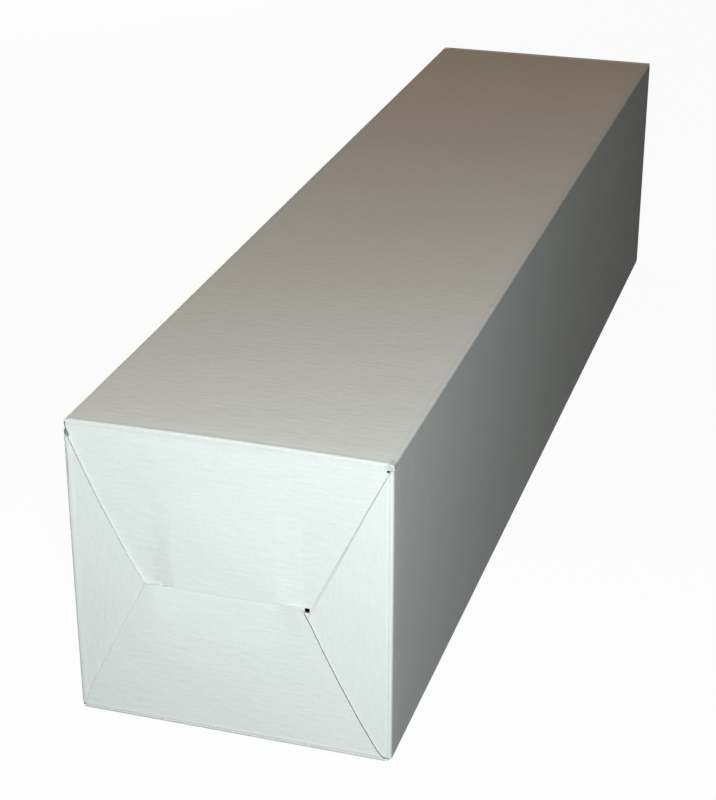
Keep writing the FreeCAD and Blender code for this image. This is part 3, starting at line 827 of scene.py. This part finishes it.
class TUBE_OT_beads(bpy.types.Operator):
    """Beads that creasing leaves along the bottom fold and the right side fold of the end face"""

    bl_idname = "tube.beads"
    bl_label = "Crease beads"

    def execute(self, context):
        look = context.scene.tube_look
        sink = look.bead * 0.75
        crease = FOLD + 0.0001
        inset = 0.0013
        high = TOP - 0.0036
        bottom_level = FRONT + sink
        side_level = FRONT + LAYER + sink
        turned_level = SIDE_START + 0.0002
        runs = (
            ((-HALF + 0.0016, bottom_level, crease), (HALF - inset, bottom_level, crease)),
            ((HALF - crease, side_level, inset), (HALF - crease, side_level, high)),
            ((HALF - sink, turned_level, inset), (HALF - sink, turned_level, high)),
        )
        points = [end for run in runs for end in run]
        edges = [(2 * index, 2 * index + 1) for index in range(len(runs))]
        piece = plain_mesh("fold_lines", points, edges, [], [])
        tree = bead_tree(board_materials(look)[0])
        modifier = piece.modifiers.new("beads", "NODES")
        modifier.node_group = tree
        names = {item.name: item.identifier for item in tree.interface.items_tree if item.in_out == "INPUT"}
        modifier[names["Bead radius"]] = look.bead
        beads = applied(piece, "crease_beads")
        if not beads.data.polygons:
            raise RuntimeError("the crease beads came out empty")
        for vertex in beads.data.vertices:
            vertex.co += wall_warp(vertex.co, look)
        uv = beads.data.uv_layers.new(name="board")
        for loop in beads.data.loops:
            point = beads.data.vertices[loop.vertex_index].co
            uv.data[loop.index].uv = (point.x + point.z, point.y)
        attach(beads, "tube")
        return {"FINISHED"}


def soft_lamp(name, place, target, power, size, colour):
    """A round area lamp that looks at a point."""
    data = bpy.data.lights.new(name, "AREA")
    data.shape = "DISK"
    data.size = size
    data.energy = power
    data.color = linear(colour)[:3]
    lamp = link_new(name, data)
    lamp.location = place
    lamp.rotation_euler = (Vector(target) - Vector(place)).to_track_quat("-Z", "Y").to_euler()


def studio_floor():
    """Paper that the camera and reflections see as white, with a soft shadow. It throws little light."""
    material, s = new_material("pale_studio_floor")
    seen = s.add("ShaderNodeLightPath")
    paper = s.add("ShaderNodeBsdfDiffuse", Color=(0.035, 0.034, 0.032, 1.0))
    shade = s.add("ShaderNodeBsdfDiffuse", Color=(0.9, 0.9, 0.9, 1.0))
    white = s.add("ShaderNodeEmission", Color=(1.0, 1.0, 1.0, 1.0), Strength=1.0)
    shown = s.add("ShaderNodeMixShader", Fac=0.05, i1=white.outputs[0], i2=shade.outputs[0])
    rays = s.maths("MAXIMUM", seen.outputs["Is Camera Ray"], seen.outputs["Is Glossy Ray"])
    both = s.add("ShaderNodeMixShader", Fac=rays, i1=paper.outputs[0], i2=shown.outputs[0])
    s.add("ShaderNodeOutputMaterial", Surface=both.outputs[0])
    reach = 6.0
    turns = ((-1, -1), (1, -1), (1, 1), (-1, 1))
    corners = [(reach * across, reach * along, -0.0003) for across, along in turns]
    plain_mesh("studio_floor", corners, [], [(0, 1, 2, 3)], [material])


def warm_room(stage):
    """A dim warm world that the camera sees as white."""
    world = bpy.data.worlds.new("warm_room")
    world.use_nodes = True
    s = Nodes(world.node_tree)
    room = s.add("ShaderNodeBackground", Color=linear(stage.fill_colour), Strength=stage.fill)
    backdrop = s.add("ShaderNodeBackground", Color=(1.0, 1.0, 1.0, 1.0), Strength=1.0)
    seen = s.add("ShaderNodeLightPath")
    rays = s.maths("MAXIMUM", seen.outputs["Is Camera Ray"], seen.outputs["Is Transmission Ray"])
    mix = s.add("ShaderNodeMixShader", i0=rays, i1=room.outputs[0], i2=backdrop.outputs[0])
    s.add("ShaderNodeOutputWorld", Surface=mix.outputs[0])
    return world


def photo_camera(stage):
    """The camera that the photograph was taken with."""
    data = bpy.data.cameras.new("photo_camera")
    data.sensor_width = 36.0
    data.lens = stage.focal
    data.clip_start = 0.01
    data.clip_end = 50.0
    camera = link_new("photo_camera", data)
    azimuth, elevation, roll = (math.radians(angle) for angle in CAMERA_ANGLES)
    level = math.cos(elevation)
    back = Vector((math.sin(azimuth) * level, -math.cos(azimuth) * level, math.sin(elevation)))
    camera.rotation_mode = "QUATERNION"
    turn = (-back).to_track_quat("-Z", "Y")
    camera.rotation_quaternion = turn @ Matrix.Rotation(roll, 4, "Z").to_quaternion()
    camera.location = CAMERA_PLACE
    return camera


class TUBE_OT_stage(bpy.types.Operator):
    """Pale floor, soft lamps, warm surroundings and the camera"""

    bl_idname = "tube.stage"
    bl_label = "Studio and camera"

    def execute(self, context):
        stage = context.scene.tube_stage
        scene = context.scene
        scene.view_settings.view_transform = "Standard"
        studio_floor()
        scene.world = warm_room(stage)
        middle = (0.0, 0.0, HALF)
        end_face = (0.0, FRONT, HALF)
        soft_lamp("key_lamp", stage.key_place, end_face, stage.key_power, 0.12, stage.key_colour)
        soft_lamp("room_lamp", stage.room_place, middle, stage.room_power, 0.5, stage.room_colour)
        soft_lamp("back_lamp", stage.back_place, middle, stage.back_power, 0.1, stage.back_colour)
        scene.camera = photo_camera(stage)
        return {"FINISHED"}


class TUBE_PT_panel(bpy.types.Panel):
    """Lists the tube's pieces and settings"""

    bl_label = "Mailing tube"
    bl_idname = "TUBE_PT_panel"
    bl_space_type = "VIEW_3D"
    bl_region_type = "UI"
    bl_category = "Tube"

    def draw(self, context):
        for operator in OPERATORS:
            self.layout.operator(operator.bl_idname)
        for group in (context.scene.tube_look, context.scene.tube_stage):
            box = self.layout.box()
            for name in group.__annotations__:
                box.prop(group, name)


OPERATORS = (TUBE_OT_stage, TUBE_OT_board, TUBE_OT_lid, TUBE_OT_lid_crease, TUBE_OT_beads)
CLASSES = (TubeLook, TubeStage, *OPERATORS, TUBE_PT_panel)


def register():
    for item in CLASSES:
        bpy.utils.register_class(item)
    bpy.types.Scene.tube_look = PointerProperty(type=TubeLook)
    bpy.types.Scene.tube_stage = PointerProperty(type=TubeStage)


def unregister():
    del bpy.types.Scene.tube_stage
    del bpy.types.Scene.tube_look
    for item in reversed(CLASSES):
        bpy.utils.unregister_class(item)


def main():
    register()
    bpy.ops.tube.stage()
    bpy.ops.tube.board()
    bpy.ops.tube.lid()
    bpy.ops.tube.lid_crease()
    bpy.ops.tube.beads()


if __name__ == "__main__":
    main()
